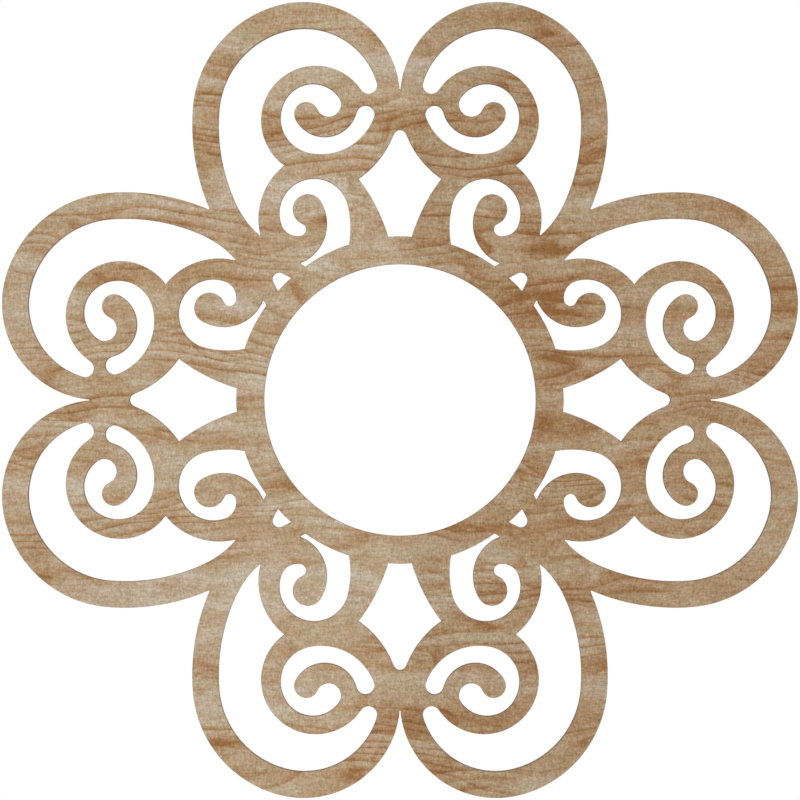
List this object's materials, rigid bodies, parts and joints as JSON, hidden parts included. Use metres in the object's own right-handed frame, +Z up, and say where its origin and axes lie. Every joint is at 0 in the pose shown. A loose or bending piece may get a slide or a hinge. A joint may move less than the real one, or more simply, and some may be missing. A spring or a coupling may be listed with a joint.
{
  "type": "ceiling medallion",
  "caption": "Flat pierced wooden panel of scroll fretwork around a round central hole, fixed to a ceiling around a hanging light.",
  "frame": {"origin": "centre of the back face, which lies against the ceiling, on the axis of the central hole", "axes": "+Z up into the ceiling, so the show face looks down along -Z; +X along the grain; +X and +Y each along the line between a pair of lobes"},
  "size_m": [0.508, 0.508, 0.0095],
  "materials": {
    "hardwood": "pale hardwood, sanded and left matt, with its grain along X"
  },
  "bodies": {
    "root": {"pierced_panel": "hardwood"}
  },
  "joints": []
}
